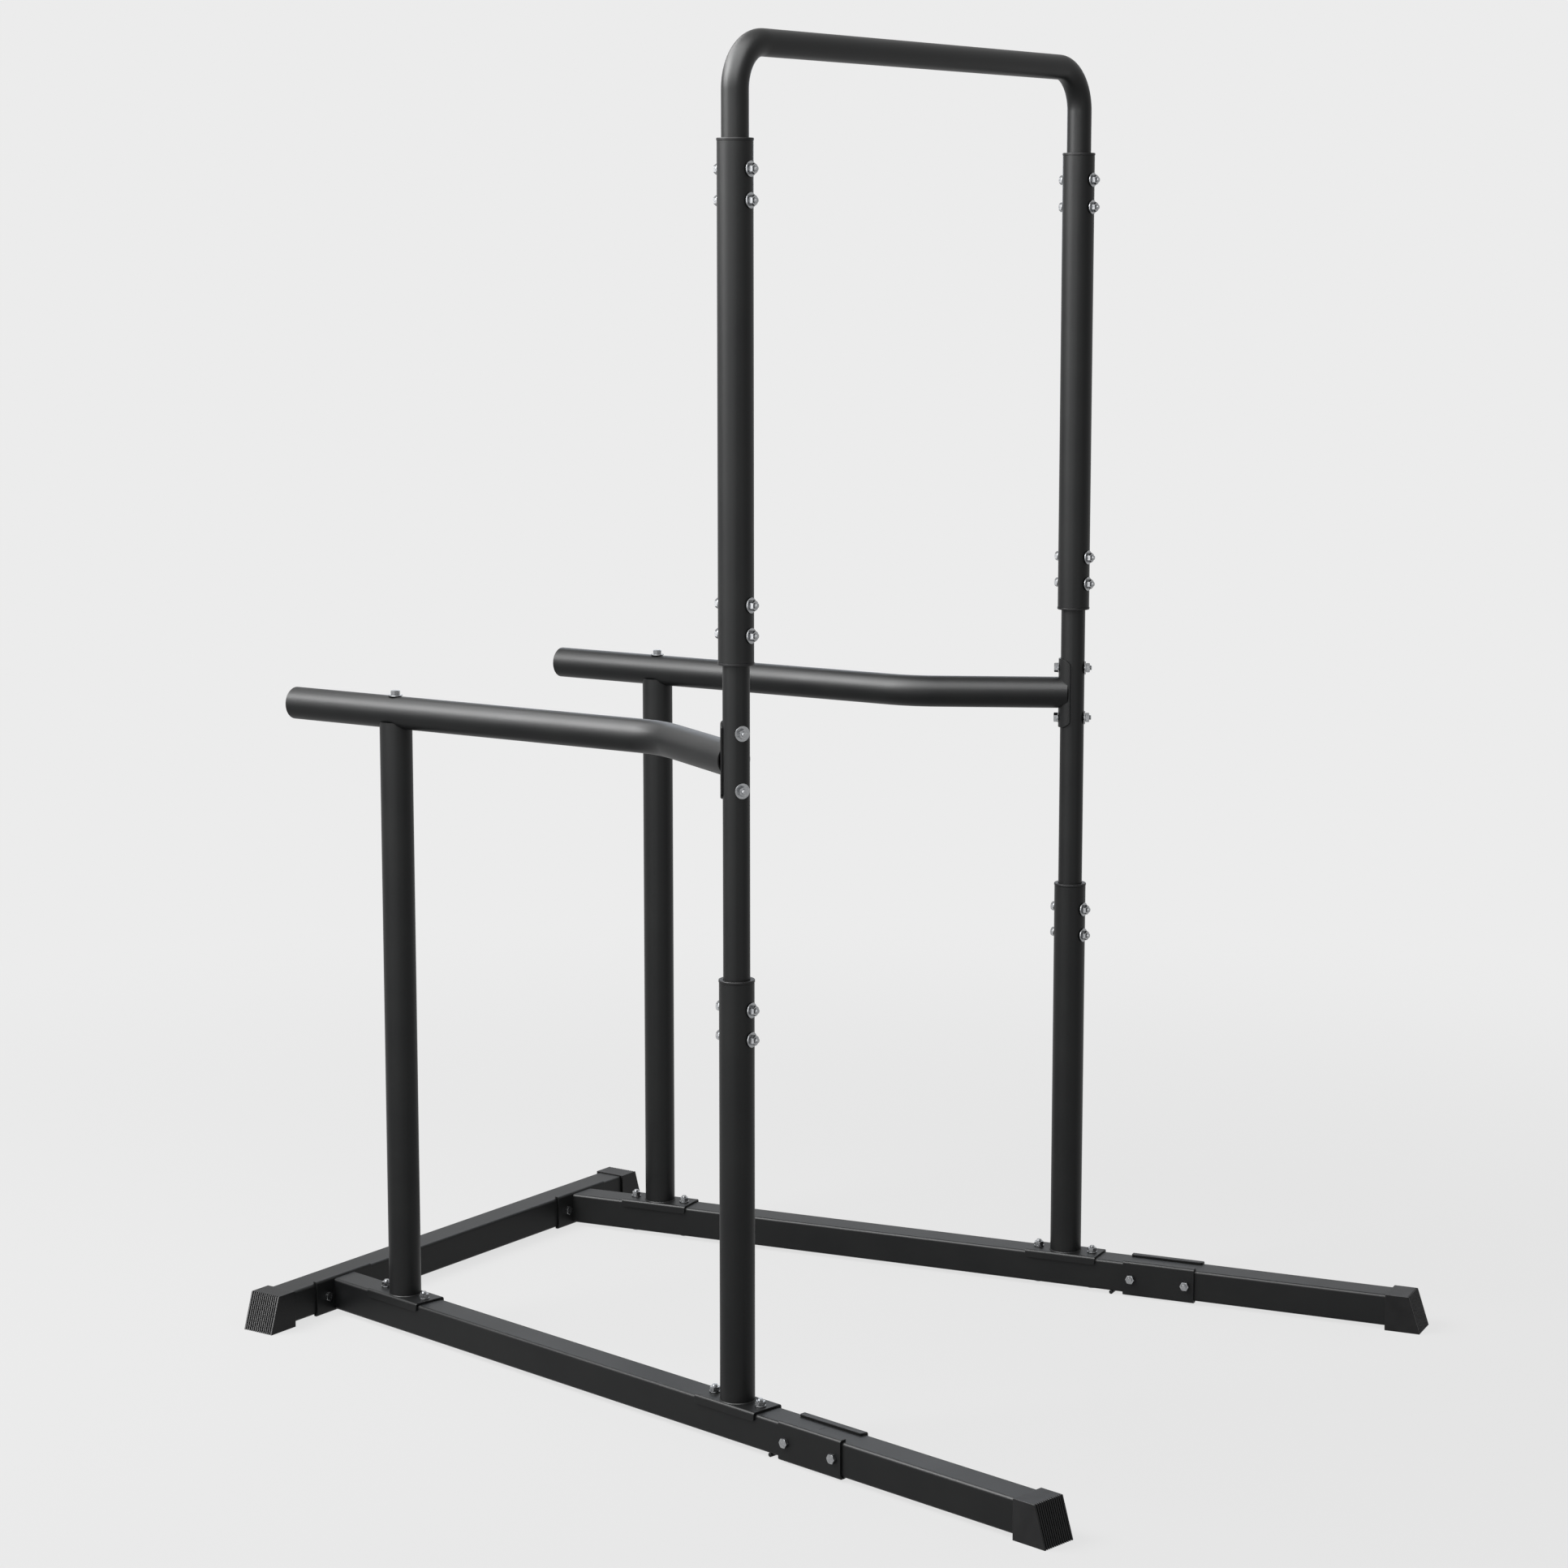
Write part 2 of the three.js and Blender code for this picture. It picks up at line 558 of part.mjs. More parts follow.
for (const [hand, side] of [['right', 1], ['left', -1]]) {
  const handed = (solid) => (side < 0 ? solid.mirror([1, 0, 0]) : solid);

  // Base and what stands on it, turned with the side rail.
  const base = new THREE.Group();
  base.position.x = side * uprightX;
  base.rotation.z = side * splayAngle;
  station.add(base);
  place(base, `side_rail_${hand}`, handed(sideRail()), powderCoat);
  place(base, `front_leg_${hand}`, frontLeg(), powderCoat);
  place(base, `front_foot_${hand}`, foot(), rubber, [0, -legReach, 0]);
  place(base, `lower_upright_${hand}`, handed(lowerUpright()), powderCoat);
  place(base, `dip_post_${hand}`, handed(dipPost()), powderCoat, [0, postSetback, 0]);
  for (const [face, way] of [['outer', side], ['inner', -side]]) {
    const seat = [way * (railSize / 2 + fit), -spliceReach, railMiddle];
    const turn = [0, 0, way > 0 ? 0 : Math.PI, 'XYZ'];
    place(base, `splice_plate_${face}_${hand}`, splicePlate(), powderCoat, seat, turn);
  }
  [-1, 1].forEach((end, i) => {
    const along = end * spliceBoltOffset - spliceReach;
    const seat = [side * acrossSplice / 2, along, railMiddle];
    const turn = [0, -side * quarterTurn, 0, 'XYZ'];
    place(base, `splice_bolt_${hand}_${i + 1}`, spliceBolt, zinc, seat, turn);
    for (const [foundation, setback] of [['upright', 0], ['post', postSetback]]) {
      const below = [0, setback + end * saddleBoltOffset, railBottom - fit];
      place(base, `${foundation}_saddle_bolt_${hand}_${i + 1}`, saddleBolt, zinc, below);
    }
  });

  // Uprights and dip bar, square to the frame.
  const column = new THREE.Group();
  column.position.x = side * uprightX;
  station.add(column);
  place(column, `middle_upright_${hand}`, handed(middleUpright()), powderCoat, [0, 0, middleBottom]);
  place(column, `upper_upright_${hand}`, upperUpright(), powderCoat, [0, 0, upperBottom]);
  place(column, `dip_bar_${hand}`, handed(dipBar()), powderCoat, [0, 0, dipHeight]);
  place(column, `lower_bush_${hand}`, bush(), plastic, [0, 0, lowerTop]);
  place(column, `middle_bush_${hand}`, bush(), plastic, [0, 0, upperBottom], [Math.PI, 0, 0, 'XYZ']);
  place(column, `upper_bush_${hand}`, bush(), plastic, [0, 0, upperTop]);
  const joints = { upper: upperJointHeights, middle: middleJointHeights, lower: lowerJointHeights };
  for (const [joint, heights] of Object.entries(joints)) {
    heights.forEach((height, i) => {
      const seat = [0, acrossTube / 2, height];
      const turn = [quarterTurn, 0, 0, 'XYZ'];
      place(column, `${joint}_joint_bolt_${hand}_${i + 1}`, sleeveBolt, zinc, seat, turn);
    });
  }
  const bracketSeat = slimRadius + 2 * fit + plate;
  bracketBoltHeights.forEach((height, i) => {
    const seat = [-side * bracketSeat * Math.sin(dipAngle), bracketSeat * Math.cos(dipAngle), height];
    const turn = [quarterTurn, 0, side * dipAngle, 'ZYX'];
    place(column, `bracket_bolt_${hand}_${i + 1}`, bracketBolt, zinc, seat, turn);
  });
  const postSeat = [side * (postX - uprightX), postY, dipHeight + mainRadius + fit];
  place(column, `dip_post_bolt_${hand}`, postBolt, zinc, postSeat, [Math.PI, 0, 0, 'XYZ']);

  const rearFootTurn = [0, 0, side * quarterTurn, 'XYZ'];
  const rearFootSeat = [side * crossBarLength / 2, crossBarSetback, 0];
  place(station, `rear_foot_${hand}`, foot(), rubber, rearFootSeat, rearFootTurn);
}

export default station;
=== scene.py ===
"""Dip station with a pull-up bar: satin black tube frame, zinc-plated bolts, ribbed rubber feet.

Everything is in metres, in the frame's own axes: +Z up, the open front towards -Y.
"""
import math

import bmesh
import bpy
from mathutils import Matrix, Vector


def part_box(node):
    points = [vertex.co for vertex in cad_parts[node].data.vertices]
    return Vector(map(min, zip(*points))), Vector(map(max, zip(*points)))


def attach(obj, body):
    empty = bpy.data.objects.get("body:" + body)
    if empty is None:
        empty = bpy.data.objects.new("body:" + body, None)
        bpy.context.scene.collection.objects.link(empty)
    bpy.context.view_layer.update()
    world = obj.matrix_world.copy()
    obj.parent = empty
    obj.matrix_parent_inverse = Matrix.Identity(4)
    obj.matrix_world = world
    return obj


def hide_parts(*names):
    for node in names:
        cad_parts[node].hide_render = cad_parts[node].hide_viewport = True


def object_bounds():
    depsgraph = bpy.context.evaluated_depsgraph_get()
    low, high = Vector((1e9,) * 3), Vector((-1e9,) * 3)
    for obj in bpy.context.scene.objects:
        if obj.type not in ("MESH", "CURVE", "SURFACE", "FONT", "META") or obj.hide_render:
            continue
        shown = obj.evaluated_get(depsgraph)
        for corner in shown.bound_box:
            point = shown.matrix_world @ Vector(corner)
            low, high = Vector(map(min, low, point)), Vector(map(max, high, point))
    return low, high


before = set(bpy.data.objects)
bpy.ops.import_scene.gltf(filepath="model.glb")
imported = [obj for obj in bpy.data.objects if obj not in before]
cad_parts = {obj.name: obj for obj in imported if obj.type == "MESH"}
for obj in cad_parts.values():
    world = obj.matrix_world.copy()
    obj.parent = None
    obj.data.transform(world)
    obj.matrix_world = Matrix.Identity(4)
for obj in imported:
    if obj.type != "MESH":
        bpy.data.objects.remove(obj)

cad_low, cad_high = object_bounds()

MM = 0.001
RIGHT, BACK, UP = (1, 0, 0), (0, 1, 0), (0, 0, 1)
QUARTER = math.pi / 2
HANDS = {"right": 1, "left": -1}

# Walls, folds and corners of the steel, and the play between pieces that touch
MAIN_WALL = 2 * MM
SLIM_WALL = 2 * MM
RAIL_WALL = 2 * MM
RAIL_CORNER = 4.5 * MM
PLATE = 3 * MM
FOLD = 4 * MM
PLATE_EDGE = 0.5 * MM
LIP_CORNER = 4 * MM
CLEARANCE = 0.3 * MM

# Bends of the pull-up bar and the dip bars, and the brackets
BAR_BEND = 65 * MM
DIP_BEND = 150 * MM
DIP_ANGLE = math.radians(30)
COPE_STOP = 8 * MM
BRACKET_WRAP = math.radians(80)
BRACKET_CORNER = 9 * MM
TAPPED_PLATE = 6 * MM
TAPPED_PLATE_GAP = 8.7 * MM

# Fillet weld round the foot of each upright and post, and how far welded pieces run into each other
FILLET = 1.2 * MM
FILLET_SINK = 0.6 * MM
FILLET_TOE = FILLET / 4
FILLET_EDGE = FILLET / 5
RIPPLE = 0.12 * MM
RIPPLE_PITCH = 2.2 * MM

# Bushes and end caps
BUSH_FLANGE = 4 * MM
BUSH_PROUD = 0.6 * MM
BUSH_EDGE = 0.9 * MM
CAP_DOME = 2.5 * MM
CAP_SKIRT = 16 * MM
CAP_EDGE = 1.5 * MM

# Rod below the side rail, behind the splice
REST_ROD_GAP = 21.5 * MM
REST_ROD_SHY = 2 * MM
REST_ROD_SINK = 0.5 * MM
REST_ROD_EDGE = 1 * MM

# Feet
RIBS = 14
RIB_DEPTH = 2.4 * MM
GROOVE_SHARE = 0.45
FOOT_COVER = 33 * MM
FOOT_END = 4 * MM
FOOT_EDGE = 0.5 * MM

# Fasteners
BOLT_RADIUS = 4 * MM
THREAD_PITCH = 1.25 * MM
THREAD_DEPTH = 0.55 * MM
HEAD = 5.3 * MM
DIP_HEAD = 7 * MM
NUT = 6.5 * MM
STUD = 3 * MM
ACROSS_FLATS = 13 * MM
HEX_CHAMFER = math.radians(30)
HEX_FACE_SHARE = 0.95
WIDE_WASHER = 22 * MM
SMALL_WASHER = 16 * MM
WASHER = 1.6 * MM
WASHER_EDGE = 0.35 * MM
JOINT_BOLT_OFFSET = 41 * MM
THIN_NUT = 3.5 * MM

# Facets
ROUND = 96
BOLT_ROUND = 40
BEND_STEPS = 24
FOLD_STEPS = 6
EDGE_STEPS = 2
SHARP = math.radians(32)

# Distances below which points are the same, or lie on a line
SAME = 1e-7
ON_LINE = 0.1 * MM

# Shares of a normal past which a face looks straight along an axis, or slants towards it
STRAIGHT_SHARE = 0.9
SLANTED_SHARE = 0.7

# Values between which noise mostly lies
NOISE_LOW = 0.3
NOISE_HIGH = 0.7


def colour(code):
    """Linear RGBA of an sRGB hex value."""
    parts = [int(code[i:i + 2], 16) / 255 for i in (1, 3, 5)]
    linear = [c / 12.92 if c <= 0.04045 else ((c + 0.055) / 1.055) ** 2.4 for c in parts]
    return (*linear, 1.0)


def add(tree, kind, inputs=None, **settings):
    """Adds a node with its settings, and sets or links its inputs, given by name or number."""
    new = tree.nodes.new(kind)
    for name, value in settings.items():
        setattr(new, name, value)
    for name, value in (inputs or {}).items():
        if isinstance(value, bpy.types.NodeSocket):
            tree.links.new(value, new.inputs[name])
        else:
            new.inputs[name].default_value = value
    return new


def blank(name):
    """A new material, its node tree, and its shader, which is linked to the output."""
    material = bpy.data.materials.new(name)
    material.use_nodes = True
    tree = material.node_tree
    tree.nodes.clear()
    shader = add(tree, "ShaderNodeBsdfPrincipled")
    add(tree, "ShaderNodeOutputMaterial", {"Surface": shader.outputs[0]})
    return material, tree, shader


def noise(tree, wave, detail=2.0):
    """Noise on Object coordinates, whose features are about one wave across."""
    where = add(tree, "ShaderNodeTexCoord")
    return add(tree, "ShaderNodeTexNoise", {
        "Vector": where.outputs["Object"], "Scale": 1 / wave, "Detail": detail,
    }).outputs[0]


def spread(tree, value, low, high):
    """Maps noise onto a range."""
    return add(tree, "ShaderNodeMapRange", {
        "Value": value, "From Min": NOISE_LOW, "From Max": NOISE_HIGH, "To Min": low, "To Max": high,
    }).outputs[0]


def mottled(tree, value, first, second):
    """A colour between two near ones, by noise. A mix node's colours go in at 6 and 7 and out at 2."""
    return add(tree, "ShaderNodeMix", {
        "Factor": spread(tree, value, 0, 1), 6: colour(first), 7: colour(second),
    }, data_type="RGBA").outputs[2]


def bumped(tree, height, depth):
    """A normal that follows a height of that depth."""
    return add(tree, "ShaderNodeBump", {"Height": height, "Distance": depth}).outputs[0]


def satin_powder_coat():
    """Polyester powder baked on steel: an even satin black, with the faint orange peel of the melt."""
    material, tree, shader = blank("satin_powder_coat")
    cloud = noise(tree, wave=90 * MM)
    peel = noise(tree, wave=2.4 * MM, detail=1.0)
    tree.links.new(mottled(tree, cloud, "#121314", "#161717"), shader.inputs["Base Color"])
    tree.links.new(spread(tree, cloud, low=0.4, high=0.44), shader.inputs["Roughness"])
    tree.links.new(bumped(tree, peel, depth=0.012 * MM), shader.inputs["Normal"])
    shader.inputs["IOR"].default_value = 1.5
    shader.inputs["Specular IOR Level"].default_value = 0.15
    return material


def zinc_plate():
    """Bright zinc plated on steel: a cool grey mirror, a little cloudy from the passivation.

    The real grain is far finer. It is drawn at half a millimetre, so that it shows.
    """
    material, tree, shader = blank("zinc_plate")
    cloud = noise(tree, wave=3 * MM, detail=3.0)
    grain = noise(tree, wave=0.5 * MM)
    tree.links.new(mottled(tree, cloud, "#8b8d90", "#a2a3a4"), shader.inputs["Base Color"])
    tree.links.new(spread(tree, cloud, low=0.18, high=0.32), shader.inputs["Roughness"])
    tree.links.new(bumped(tree, grain, depth=0.01 * MM), shader.inputs["Normal"])
    shader.inputs["Metallic"].default_value = 1.0
    return material


def moulded_rubber():
    """Black rubber, moulded with a spark-eroded grain that keeps it duller than the paint.

    The real grain is finer. It is drawn at 0.8 mm, so that it shows.
    """
    material, tree, shader = blank("moulded_rubber")
    cloud = noise(tree, wave=25 * MM)
    grain = noise(tree, wave=0.8 * MM, detail=3.0)
    tree.links.new(mottled(tree, cloud, "#101011", "#141415"), shader.inputs["Base Color"])
    tree.links.new(spread(tree, cloud, low=0.4, high=0.46), shader.inputs["Roughness"])
    tree.links.new(bumped(tree, grain, depth=0.02 * MM), shader.inputs["Normal"])
    shader.inputs["Specular IOR Level"].default_value = 0.15
    return material


def moulded_nylon():
    """Black nylon of the bushes and end caps: smooth, with a soft sheen.

    The mould's faint texture is drawn coarser than the real one, so that it shows.
    """
    material, tree, shader = blank("moulded_nylon")
    cloud = noise(tree, wave=20 * MM)
    grain = noise(tree, wave=1.2 * MM)
    tree.links.new(mottled(tree, cloud, "#131314", "#171718"), shader.inputs["Base Color"])
    tree.links.new(spread(tree, cloud, low=0.42, high=0.48), shader.inputs["Roughness"])
    tree.links.new(bumped(tree, grain, depth=0.01 * MM), shader.inputs["Normal"])
    shader.inputs["IOR"].default_value = 1.53
    shader.inputs["Specular IOR Level"].default_value = 0.15
    return material


FINISHES = {
    "powder_coat": satin_powder_coat(),
    "zinc": zinc_plate(),
    "foot_rubber": moulded_rubber(),
    "bush_plastic": moulded_nylon(),
}


# Every piece but the zinc, which would burn out in the panels that light only these
dark_parts = bpy.data.collections.new("dark_parts")

# The feet, which have a low panel of their own that draws their ribs
rubber_parts = bpy.data.collections.new("rubber_parts")


def verts_of(result):
    return [g for g in result["geom"] if isinstance(g, bmesh.types.BMVert)]


def edges_of(geometry):
    return [g for g in geometry if isinstance(g, bmesh.types.BMEdge)]


def facing(x_axis, y_axis):
    """Rotation that sends +X and +Y to the given unit axes."""
    x, y = Vector(x_axis), Vector(y_axis)
    return Matrix((x, y, x.cross(y))).transposed().to_4x4()


def moved(bm, matrix):
    bmesh.ops.transform(bm, matrix=matrix, verts=bm.verts[:])
    return bm


def outward(bm):
    """Points a closed solid's faces outwards. On a curved plate, the operator alone guesses wrong."""
    bmesh.ops.recalc_face_normals(bm, faces=bm.faces[:])
    if bm.calc_volume(signed=True) < 0:
        bmesh.ops.reverse_faces(bm, faces=bm.faces[:])
    return bm


def joined(*parts):
    """One bmesh that holds several closed shells."""
    whole = bmesh.new()
    for part in parts:
        mesh = bpy.data.meshes.new("shell")
        part.to_mesh(mesh)
        part.free()
        whole.from_mesh(mesh)
        bpy.data.meshes.remove(mesh)
    return whole


def rounded(corners):
    """A flat face on z = 0 with round corners, given as (x, y, radius)."""
    bm = bmesh.new()
    verts = [bm.verts.new((x, y, 0)) for x, y, radius in corners]
    bm.faces.new(verts)
    for radius in sorted({corner[2] for corner in corners} - {0}):
        chosen = [vert for vert, corner in zip(verts, corners) if corner[2] == radius]
        bmesh.ops.bevel(
            bm, geom=chosen, offset=radius, offset_type="OFFSET", affect="VERTICES",
            segments=FOLD_STEPS if radius > PLATE_EDGE else EDGE_STEPS, profile=0.5, material=-1,
        )
    return bm


def prism(bm, length):
    """A flat face on z = 0 made a solid of that length along +Z."""
    top = bmesh.ops.extrude_face_region(bm, geom=bm.faces[:])
    bmesh.ops.translate(bm, verts=verts_of(top), vec=(0, 0, length))
    return outward(bm)


def softened(bm, chosen, offset, segments=EDGE_STEPS):
    """Rounds the edges for which chosen(edge) is true."""
    edges = [edge for edge in bm.edges if chosen(edge)]
    bmesh.ops.bevel(
        bm, geom=edges, offset=offset, offset_type="OFFSET", affect="EDGES",
        segments=segments, profile=0.5, material=-1,
    )
    return bm


def sharp_edge(edge):
    return edge.is_manifold and edge.calc_face_angle() > SHARP


def lathed(corners, steps=BOLT_ROUND):
    """A ring or knob: a section of (radius, height, corner radius), spun about +Z."""
    bm = rounded(corners)
    moved(bm, Matrix.Rotation(QUARTER, 4, "X"))
    bmesh.ops.delete(bm, geom=bm.faces[:], context="FACES_ONLY")
    on_axis = [edge for edge in bm.edges if all(abs(vert.co.x) < SAME for vert in edge.verts)]
    bmesh.ops.delete(bm, geom=on_axis, context="EDGES")
    bmesh.ops.spin(
        bm, geom=bm.verts[:] + bm.edges[:], cent=(0, 0, 0), axis=(0, 0, 1),
        angle=2 * math.pi, steps=steps, use_merge=True,
    )
    bmesh.ops.remove_doubles(bm, verts=bm.verts[:], dist=SAME)
    return outward(bm)


def round_loop(radius):
    bm = bmesh.new()
    bmesh.ops.create_circle(bm, cap_ends=False, segments=ROUND, radius=radius)
    return bm


def square_loop(size, corner):
    half = size / 2
    bm = rounded([
        (-half, -half, corner), (half, -half, corner), (half, half, corner), (-half, half, corner),
    ])
    bmesh.ops.delete(bm, geom=bm.faces[:], context="FACES_ONLY")
    return bm


def swept(bm, route):
    """Carries the loop on z = 0 along +Z through (run, bend radius, angle), turning towards +X.

    Returns the vertices of the last ring.
    """
    loop = bm.edges[:]
    tip = Matrix.Identity(4)
    for run, radius, angle in route:
        drawn = bmesh.ops.extrude_edge_only(bm, edges=loop)
        bmesh.ops.translate(bm, verts=verts_of(drawn), vec=tip.to_3x3() @ Vector((0, 0, run)))
        loop = edges_of(drawn["geom"])
        tip = tip @ Matrix.Translation((0, 0, run))
        if angle:
            arm = Matrix.Translation((radius, 0, 0))
            spun = bmesh.ops.spin(
                bm, geom=loop, cent=tip @ Vector((radius, 0, 0)), axis=tip.to_3x3() @ Vector((0, 1, 0)),
                angle=angle, steps=BEND_STEPS,
            )
            loop = edges_of(spun["geom_last"])
            tip = tip @ arm @ Matrix.Rotation(angle, 4, "Y") @ arm.inverted()
    return list({vert for edge in loop for vert in edge.verts})


def walled(bm, wall):
    """An open skin made a tube whose wall grows inwards."""
    bmesh.ops.recalc_face_normals(bm, faces=bm.faces[:])
    bmesh.ops.solidify(bm, geom=bm.faces[:], thickness=wall)
    return outward(bm)


def straight_tube(radius, wall, length):
    bm = round_loop(radius)
    swept(bm, [(length, 0, 0)])
    return walled(bm, wall)


def shell(name, bm, place, slot, node=None, mirrored=False):
    """Finishes a piece: its place in its mesh, its shading, its finish and its body."""
    if mirrored:
        place = place @ Matrix.Diagonal((-1, 1, 1, 1))
    moved(bm, place)
    if mirrored:
        bmesh.ops.reverse_faces(bm, faces=bm.faces[:])
    for face in bm.faces:
        face.smooth = True
    mesh = bpy.data.meshes.new(name)
    bm.to_mesh(mesh)
    bm.free()
    mesh.set_sharp_from_angle(angle=SHARP)
    mesh.materials.append(FINISHES[slot])
    piece = bpy.data.objects.new(name, mesh)
    bpy.context.scene.collection.objects.link(piece)
    weighting = piece.modifiers.new("even_shading", "WEIGHTED_NORMAL")
    weighting.keep_sharp = True
    if slot != "zinc":
        dark_parts.objects.link(piece)
    if slot == "foot_rubber":
        rubber_parts.objects.link(piece)
    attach(piece, "root")
    if node:
        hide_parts(node)
    return piece


def span(node, place):
    """Lowest and highest corner of a CAD node, measured along the axes of a place."""
    back = place.inverted()
    points = [back @ vert.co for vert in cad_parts[node].data.vertices]
    low = Vector([min(point[i] for point in points) for i in range(3)])
    high = Vector([max(point[i] for point in points) for i in range(3)])
    return low, high


def middle(node):
    low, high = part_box(node)
    return (low + high) / 2


def radius_of(node):
    """Radius of a tube that stands upright."""
    low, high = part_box(node)
    return (high - low).x / 2


# Places that follow from the frame
upright_axis = middle("upper_upright_right")
post_axis = middle("dip_post_right")
splay = math.atan2(upright_axis.x - post_axis.x, post_axis.y - upright_axis.y)
post_setback = math.hypot(upright_axis.x - post_axis.x, post_axis.y - upright_axis.y)
main_radius = radius_of("upper_upright_right")
slim_radius = radius_of("middle_upright_right")
bracket_radius = slim_radius + CLEARANCE + PLATE
dip_height = middle("dip_bar_right").z


def column(side):
    """Upright axis on the floor, square to the frame."""
    return Matrix.Translation((side * upright_axis.x, upright_axis.y, 0))


def base(side):
    """Upright axis on the floor, turned with the splayed side rail."""
    return column(side) @ Matrix.Rotation(side * splay, 4, "Z")


def post(side):
    return base(side) @ Matrix.Translation((0, post_setback, 0))


def weld_ring(radius):
    """Fillet weld round a tube that stands on a plate at z = 0, with the ripples of the bead."""
    bm = lathed([
        (radius - FILLET_SINK, -FILLET_SINK, 0), (radius + FILLET, -FILLET_SINK, 0),
        (radius + FILLET, FILLET_TOE, FILLET_EDGE), (radius + FILLET_TOE, FILLET, FILLET_EDGE),
        (radius - FILLET_SINK, FILLET, 0),
    ], steps=2 * ROUND)
    waves = round(2 * math.pi * radius / RIPPLE_PITCH)
    for vert in bm.verts:
        out = vert.co.xy.length
        if out > radius and vert.co.z > 0:
            swell = RIPPLE * math.cos(waves * math.atan2(vert.co.y, vert.co.x))
            vert.co.xy *= (out + swell) / out
    return bm


def channel(width, lip, length):
    """Folded plate, centred on z, whose web has its outer face on y = 0 and whose lips run to -Y."""
    half = width / 2
    bm = prism(rounded([
        (half, -lip, 0), (half, 0, FOLD), (-half, 0, FOLD), (-half, -lip, 0),
        (PLATE - half, -lip, 0), (PLATE - half, -PLATE, FOLD - PLATE),
        (half - PLATE, -PLATE, FOLD - PLATE), (half - PLATE, -lip, 0),
    ]), length)

    def lip_corner(edge):
        across = abs((edge.verts[0].co - edge.verts[1].co).x) > PLATE / 2
        return across and all(abs(vert.co.y + lip) < ON_LINE for vert in edge.verts)

    softened(bm, lip_corner, LIP_CORNER, FOLD_STEPS)
    softened(bm, sharp_edge, PLATE_EDGE)
    return moved(bm, Matrix.Translation((0, 0, -length / 2)))


# Places that follow from the rails and the cross bar
rail_low, rail_high = span("front_leg_right", base(1))
rail_size = rail_high.x - rail_low.x
rail_middle = (rail_high.z + rail_low.z) / 2
saddle_top = rail_high.z + CLEARANCE + PLATE
fold_width = rail_size + 2 * (CLEARANCE + PLATE)
web_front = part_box("rear_cross_bar")[0].y - CLEARANCE - PLATE
axis_reach = (web_front - upright_axis.y) / math.cos(splay)
joint_x = upright_axis.x - axis_reach * math.sin(splay)


def saddle(node, place):
    """Folded plate over the rail, as long and deep as the frame says."""
    low, high = span(node, place)
    bm = channel(fold_width, saddle_top - low.z, high.y - low.y)
    return moved(bm, Matrix.Translation((0, 0, saddle_top)) @ facing(RIGHT, UP))


def lower_upright(hand, side):
    node = f"lower_upright_{hand}"
    stem = straight_tube(main_radius, MAIN_WALL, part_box(node)[1].z - saddle_top)
    standing = joined(stem, weld_ring(main_radius))
    moved(standing, Matrix.Translation((0, 0, saddle_top)))
    whole = joined(standing, saddle(node, base(side)))
    shell(f"welded_{node}", whole, base(side), "powder_coat", node)


def dip_post(hand, side):
    """Post whose top is cupped to the dip bar above it, with the tapped plate inside."""
    node = f"dip_post_{hand}"
    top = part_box(node)[1].z
    stem = round_loop(main_radius)
    rim = swept(stem, [(top - saddle_top, 0, 0)])
    cup = main_radius + CLEARANCE
    across = Vector((math.cos(side * splay), -math.sin(side * splay)))
    for vert in rim:
        offset = vert.co.xy.dot(across)
        vert.co.z = min(top, dip_height - math.sqrt(cup ** 2 - offset ** 2)) - saddle_top
    standing = joined(walled(stem, MAIN_WALL), weld_ring(main_radius))
    moved(standing, Matrix.Translation((0, 0, saddle_top)))
    inside = main_radius - MAIN_WALL
    tapped = lathed([
        (BOLT_RADIUS, 0, 0), (inside, 0, 0), (inside, TAPPED_PLATE, 0), (BOLT_RADIUS, TAPPED_PLATE, 0),
    ], steps=ROUND)
    depth = main_radius + CLEARANCE + TAPPED_PLATE_GAP + TAPPED_PLATE
    moved(tapped, Matrix.Translation((0, 0, dip_height - depth)))
    whole = joined(standing, tapped, saddle(node, post(side)))
    shell(f"welded_{node}", whole, post(side), "powder_coat", node)


def plain_uprights(hand, side):
    for part, radius, wall in (("middle", slim_radius, SLIM_WALL), ("upper", main_radius, MAIN_WALL)):
        node = f"{part}_upright_{hand}"
        low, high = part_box(node)
        bm = straight_tube(radius, wall, high.z - low.z)
        place = column(side) @ Matrix.Translation((0, 0, low.z))
        shell(f"painted_{node}", bm, place, "powder_coat", node)


def pull_up_bar():
    """One slim tube bent twice into an arch."""
    low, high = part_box("pull_up_bar")
    rise = high.z - slim_radius - BAR_BEND - low.z
    reach = high.x - low.x - 2 * slim_radius - 2 * BAR_BEND
    bm = round_loop(slim_radius)
    swept(bm, [(rise, BAR_BEND, QUARTER), (reach, BAR_BEND, QUARTER), (rise, 0, 0)])
    place = Matrix.Translation((low.x + slim_radius, upright_axis.y, low.z))
    shell("bent_pull_up_bar", walled(bm, SLIM_WALL), place, "powder_coat", "pull_up_bar")


